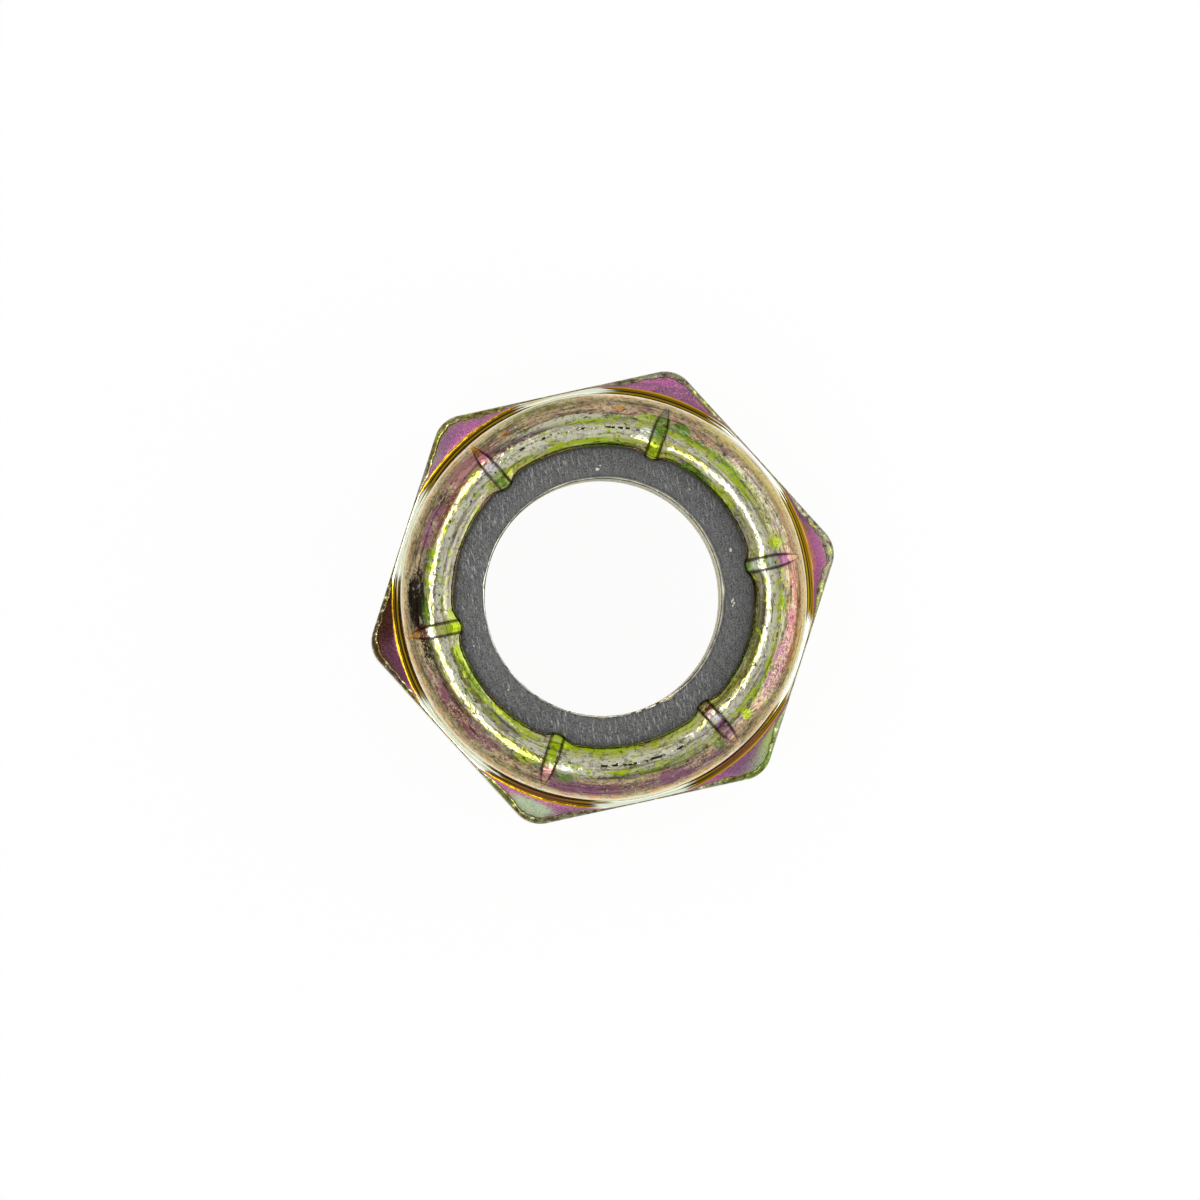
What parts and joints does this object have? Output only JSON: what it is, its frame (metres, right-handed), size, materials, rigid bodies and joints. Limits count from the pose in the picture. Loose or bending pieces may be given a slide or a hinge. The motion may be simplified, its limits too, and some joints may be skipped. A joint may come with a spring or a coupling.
{
  "type": "nylon insert lock nut",
  "caption": "Hexagon lock nut with a coarse internal thread, a rolled and staked collar, and a nylon ring that grips the bolt.",
  "frame": {"origin": "centre of the bearing face, on the thread axis", "axes": "+Z along the thread axis from the bearing face towards the collar, +X through one corner of the hexagon"},
  "size_m": [0.0216, 0.019, 0.0151],
  "materials": {
    "plated_steel": "yellow zinc chromate over steel, iridescent, green, gold and pink",
    "nylon": "dark grey nylon, matte, lightly scratched"
  },
  "bodies": {
    "root": {"nut_body": "plated_steel", "nylon_insert": "nylon"}
  },
  "joints": []
}
